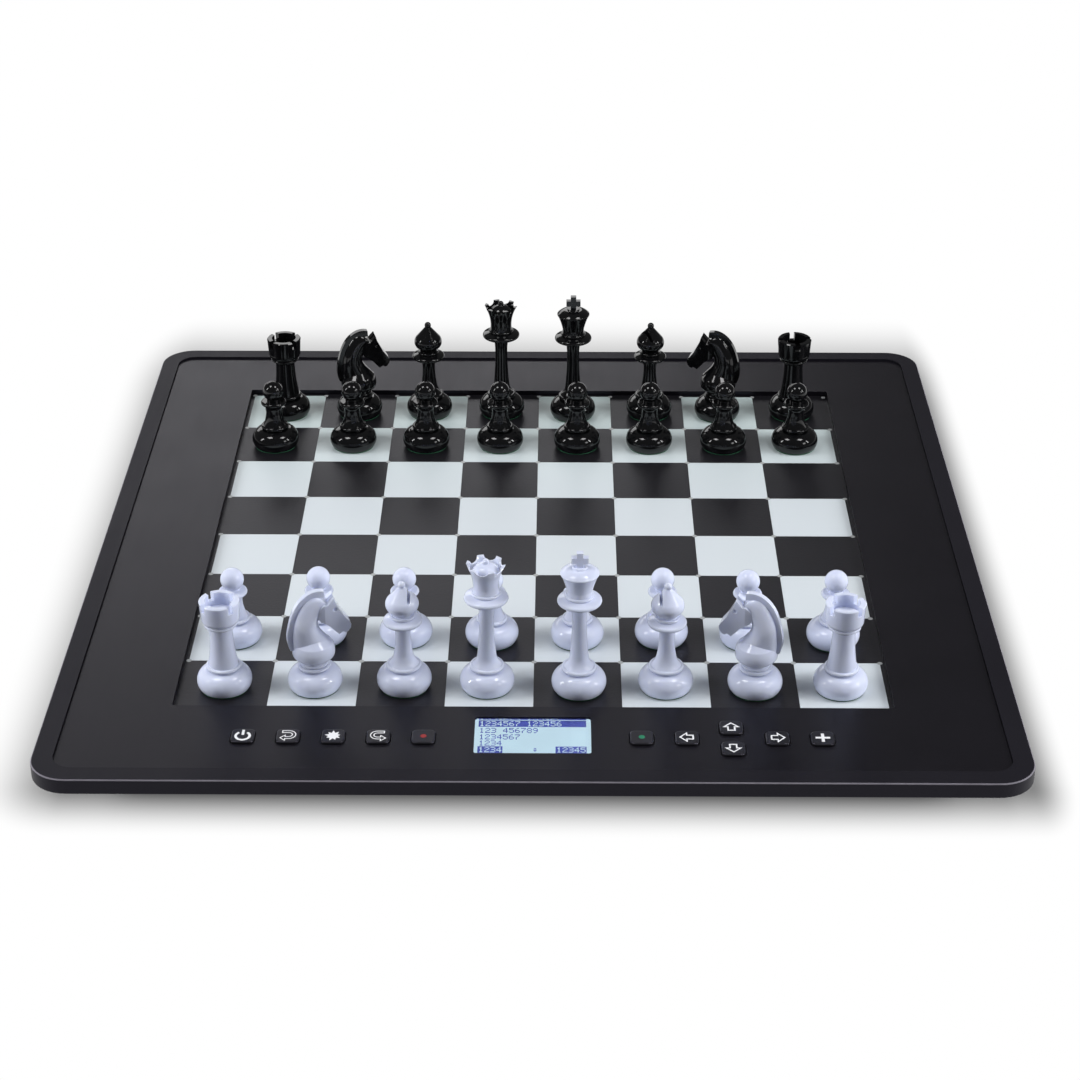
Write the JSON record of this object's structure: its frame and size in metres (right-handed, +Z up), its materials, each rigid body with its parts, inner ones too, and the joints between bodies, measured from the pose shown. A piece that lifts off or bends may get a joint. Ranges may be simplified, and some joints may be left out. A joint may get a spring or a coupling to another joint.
{
  "type": "electronic chess computer",
  "caption": "Flat square electronic chess computer with a sunk pressure-sensing board of frosted and dark squares, a small display between rows of push keys, and a full set of turned chessmen.",
  "frame": {"origin": "on the table under the middle of the square case", "axes": "+X to the player's right, +Y away from the player, towards the back edge with the power inlet, +Z up"},
  "size_m": [0.38, 0.38, 0.084],
  "materials": {
    "case_plastic": "fine grain, near black",
    "frame_plastic": "satin, dark charcoal",
    "deck_plastic": "satin, dark charcoal",
    "field_film": "grained dark film",
    "pale_inlay": "frosted pale blue grey",
    "light_guide": "milky light guide",
    "circuit_board": "green solder mask",
    "display_glass": "lit pale cyan display",
    "display_cover": "clear cover",
    "key_plastic": "satin, dark charcoal with pale marks",
    "silicone": "grey silicone",
    "cell_wrap": "plain foil sleeve",
    "contact_metal": "nickel plated",
    "socket_plastic": "black",
    "foot_rubber": "black rubber",
    "screw_steel": "zinc plated",
    "white_men": "glossy cool white with green felt below",
    "black_men": "glossy black with green felt below"
  },
  "bodies": {
    "machine": {"bottom_case": "case_plastic", "top_frame": "frame_plastic", "deck_panel": "deck_plastic", "field_sheet": "field_film", "light_squares": "pale_inlay", "corner_lights": "light_guide", "sensor_board": "circuit_board", "control_board": "circuit_board", "lcd_panel": "display_glass", "lcd_window": "display_cover", "key_mat": "silicone", "battery_cells": "cell_wrap", "battery_contacts": "contact_metal", "dc_socket": "socket_plastic", "rubber_feet": "foot_rubber", "case_screws": "screw_steel"},
    "power_button_body": {"power_button": "key_plastic"},
    "takeback_button_body": {"takeback_button": "key_plastic"},
    "hint_button_body": {"hint_button": "key_plastic"},
    "replay_button_body": {"replay_button": "key_plastic"},
    "red_button_body": {"red_button": "key_plastic"},
    "green_button_body": {"green_button": "key_plastic"},
    "left_button_body": {"left_button": "key_plastic"},
    "up_button_body": {"up_button": "key_plastic"},
    "down_button_body": {"down_button": "key_plastic"},
    "right_button_body": {"right_button": "key_plastic"},
    "new_game_button_body": {"new_game_button": "key_plastic"},
    "battery_door_body": {"battery_door": "case_plastic"},
    "white_rook_a1_body": {"white_rook_a1": "white_men"},
    "white_knight_b1_body": {"white_knight_b1": "white_men"},
    "white_bishop_c1_body": {"white_bishop_c1": "white_men"},
    "white_queen_d1_body": {"white_queen_d1": "white_men"},
    "white_king_e1_body": {"white_king_e1": "white_men"},
    "white_bishop_f1_body": {"white_bishop_f1": "white_men"},
    "white_knight_g1_body": {"white_knight_g1": "white_men"},
    "white_rook_h1_body": {"white_rook_h1": "white_men"},
    "white_pawn_a2_body": {"white_pawn_a2": "white_men"},
    "white_pawn_b2_body": {"white_pawn_b2": "white_men"},
    "white_pawn_c2_body": {"white_pawn_c2": "white_men"},
    "white_pawn_d2_body": {"white_pawn_d2": "white_men"},
    "white_pawn_e2_body": {"white_pawn_e2": "white_men"},
    "white_pawn_f2_body": {"white_pawn_f2": "white_men"},
    "white_pawn_g2_body": {"white_pawn_g2": "white_men"},
    "white_pawn_h2_body": {"white_pawn_h2": "white_men"},
    "black_pawn_a7_body": {"black_pawn_a7": "black_men"},
    "black_pawn_b7_body": {"black_pawn_b7": "black_men"},
    "black_pawn_c7_body": {"black_pawn_c7": "black_men"},
    "black_pawn_d7_body": {"black_pawn_d7": "black_men"},
    "black_pawn_e7_body": {"black_pawn_e7": "black_men"},
    "black_pawn_f7_body": {"black_pawn_f7": "black_men"},
    "black_pawn_g7_body": {"black_pawn_g7": "black_men"},
    "black_pawn_h7_body": {"black_pawn_h7": "black_men"},
    "black_rook_a8_body": {"black_rook_a8": "black_men"},
    "black_knight_b8_body": {"black_knight_b8": "black_men"},
    "black_bishop_c8_body": {"black_bishop_c8": "black_men"},
    "black_queen_d8_body": {"black_queen_d8": "black_men"},
    "black_king_e8_body": {"black_king_e8": "black_men"},
    "black_bishop_f8_body": {"black_bishop_f8": "black_men"},
    "black_knight_g8_body": {"black_knight_g8": "black_men"},
    "black_rook_h8_body": {"black_rook_h8": "black_men"}
  },
  "joints": [
    {"name": "power_button_press", "type": "slide", "parent": "machine", "child": "power_button_body", "axis": [0, 0, -1], "range_m": [0, 0.0007], "stiffness_N_per_m": 600},
    {"name": "takeback_button_press", "type": "slide", "parent": "machine", "child": "takeback_button_body", "axis": [0, 0, -1], "range_m": [0, 0.0007], "stiffness_N_per_m": 600},
    {"name": "hint_button_press", "type": "slide", "parent": "machine", "child": "hint_button_body", "axis": [0, 0, -1], "range_m": [0, 0.0007], "stiffness_N_per_m": 600},
    {"name": "replay_button_press", "type": "slide", "parent": "machine", "child": "replay_button_body", "axis": [0, 0, -1], "range_m": [0, 0.0007], "stiffness_N_per_m": 600},
    {"name": "red_button_press", "type": "slide", "parent": "machine", "child": "red_button_body", "axis": [0, 0, -1], "range_m": [0, 0.0007], "stiffness_N_per_m": 600},
    {"name": "green_button_press", "type": "slide", "parent": "machine", "child": "green_button_body", "axis": [0, 0, -1], "range_m": [0, 0.0007], "stiffness_N_per_m": 600},
    {"name": "left_button_press", "type": "slide", "parent": "machine", "child": "left_button_body", "axis": [0, 0, -1], "range_m": [0, 0.0007], "stiffness_N_per_m": 600},
    {"name": "up_button_press", "type": "slide", "parent": "machine", "child": "up_button_body", "axis": [0, 0, -1], "range_m": [0, 0.0007], "stiffness_N_per_m": 600},
    {"name": "down_button_press", "type": "slide", "parent": "machine", "child": "down_button_body", "axis": [0, 0, -1], "range_m": [0, 0.0007], "stiffness_N_per_m": 600},
    {"name": "right_button_press", "type": "slide", "parent": "machine", "child": "right_button_body", "axis": [0, 0, -1], "range_m": [0, 0.0007], "stiffness_N_per_m": 600},
    {"name": "new_game_button_press", "type": "slide", "parent": "machine", "child": "new_game_button_body", "axis": [0, 0, -1], "range_m": [0, 0.0007], "stiffness_N_per_m": 600},
    {"name": "battery_door_release", "type": "slide", "parent": "machine", "child": "battery_door_body", "axis": [0, 0, -1], "range_m": [0, 0.025]},
    {"name": "white_rook_a1_lift", "type": "slide", "parent": "machine", "child": "white_rook_a1_body", "axis": [0, 0, 1], "range_m": [0, 0.08]},
    {"name": "white_knight_b1_lift", "type": "slide", "parent": "machine", "child": "white_knight_b1_body", "axis": [0, 0, 1], "range_m": [0, 0.08]},
    {"name": "white_bishop_c1_lift", "type": "slide", "parent": "machine", "child": "white_bishop_c1_body", "axis": [0, 0, 1], "range_m": [0, 0.08]},
    {"name": "white_queen_d1_lift", "type": "slide", "parent": "machine", "child": "white_queen_d1_body", "axis": [0, 0, 1], "range_m": [0, 0.08]},
    {"name": "white_king_e1_lift", "type": "slide", "parent": "machine", "child": "white_king_e1_body", "axis": [0, 0, 1], "range_m": [0, 0.08]},
    {"name": "white_bishop_f1_lift", "type": "slide", "parent": "machine", "child": "white_bishop_f1_body", "axis": [0, 0, 1], "range_m": [0, 0.08]},
    {"name": "white_knight_g1_lift", "type": "slide", "parent": "machine", "child": "white_knight_g1_body", "axis": [0, 0, 1], "range_m": [0, 0.08]},
    {"name": "white_rook_h1_lift", "type": "slide", "parent": "machine", "child": "white_rook_h1_body", "axis": [0, 0, 1], "range_m": [0, 0.08]},
    {"name": "white_pawn_a2_lift", "type": "slide", "parent": "machine", "child": "white_pawn_a2_body", "axis": [0, 0, 1], "range_m": [0, 0.08]},
    {"name": "white_pawn_b2_lift", "type": "slide", "parent": "machine", "child": "white_pawn_b2_body", "axis": [0, 0, 1], "range_m": [0, 0.08]},
    {"name": "white_pawn_c2_lift", "type": "slide", "parent": "machine", "child": "white_pawn_c2_body", "axis": [0, 0, 1], "range_m": [0, 0.08]},
    {"name": "white_pawn_d2_lift", "type": "slide", "parent": "machine", "child": "white_pawn_d2_body", "axis": [0, 0, 1], "range_m": [0, 0.08]},
    {"name": "white_pawn_e2_lift", "type": "slide", "parent": "machine", "child": "white_pawn_e2_body", "axis": [0, 0, 1], "range_m": [0, 0.08]},
    {"name": "white_pawn_f2_lift", "type": "slide", "parent": "machine", "child": "white_pawn_f2_body", "axis": [0, 0, 1], "range_m": [0, 0.08]},
    {"name": "white_pawn_g2_lift", "type": "slide", "parent": "machine", "child": "white_pawn_g2_body", "axis": [0, 0, 1], "range_m": [0, 0.08]},
    {"name": "white_pawn_h2_lift", "type": "slide", "parent": "machine", "child": "white_pawn_h2_body", "axis": [0, 0, 1], "range_m": [0, 0.08]},
    {"name": "black_pawn_a7_lift", "type": "slide", "parent": "machine", "child": "black_pawn_a7_body", "axis": [0, 0, 1], "range_m": [0, 0.08]},
    {"name": "black_pawn_b7_lift", "type": "slide", "parent": "machine", "child": "black_pawn_b7_body", "axis": [0, 0, 1], "range_m": [0, 0.08]},
    {"name": "black_pawn_c7_lift", "type": "slide", "parent": "machine", "child": "black_pawn_c7_body", "axis": [0, 0, 1], "range_m": [0, 0.08]},
    {"name": "black_pawn_d7_lift", "type": "slide", "parent": "machine", "child": "black_pawn_d7_body", "axis": [0, 0, 1], "range_m": [0, 0.08]},
    {"name": "black_pawn_e7_lift", "type": "slide", "parent": "machine", "child": "black_pawn_e7_body", "axis": [0, 0, 1], "range_m": [0, 0.08]},
    {"name": "black_pawn_f7_lift", "type": "slide", "parent": "machine", "child": "black_pawn_f7_body", "axis": [0, 0, 1], "range_m": [0, 0.08]},
    {"name": "black_pawn_g7_lift", "type": "slide", "parent": "machine", "child": "black_pawn_g7_body", "axis": [0, 0, 1], "range_m": [0, 0.08]},
    {"name": "black_pawn_h7_lift", "type": "slide", "parent": "machine", "child": "black_pawn_h7_body", "axis": [0, 0, 1], "range_m": [0, 0.08]},
    {"name": "black_rook_a8_lift", "type": "slide", "parent": "machine", "child": "black_rook_a8_body", "axis": [0, 0, 1], "range_m": [0, 0.08]},
    {"name": "black_knight_b8_lift", "type": "slide", "parent": "machine", "child": "black_knight_b8_body", "axis": [0, 0, 1], "range_m": [0, 0.08]},
    {"name": "black_bishop_c8_lift", "type": "slide", "parent": "machine", "child": "black_bishop_c8_body", "axis": [0, 0, 1], "range_m": [0, 0.08]},
    {"name": "black_queen_d8_lift", "type": "slide", "parent": "machine", "child": "black_queen_d8_body", "axis": [0, 0, 1], "range_m": [0, 0.08]},
    {"name": "black_king_e8_lift", "type": "slide", "parent": "machine", "child": "black_king_e8_body", "axis": [0, 0, 1], "range_m": [0, 0.08]},
    {"name": "black_bishop_f8_lift", "type": "slide", "parent": "machine", "child": "black_bishop_f8_body", "axis": [0, 0, 1], "range_m": [0, 0.08]},
    {"name": "black_knight_g8_lift", "type": "slide", "parent": "machine", "child": "black_knight_g8_body", "axis": [0, 0, 1], "range_m": [0, 0.08]},
    {"name": "black_rook_h8_lift", "type": "slide", "parent": "machine", "child": "black_rook_h8_body", "axis": [0, 0, 1], "range_m": [0, 0.08]}
  ]
}
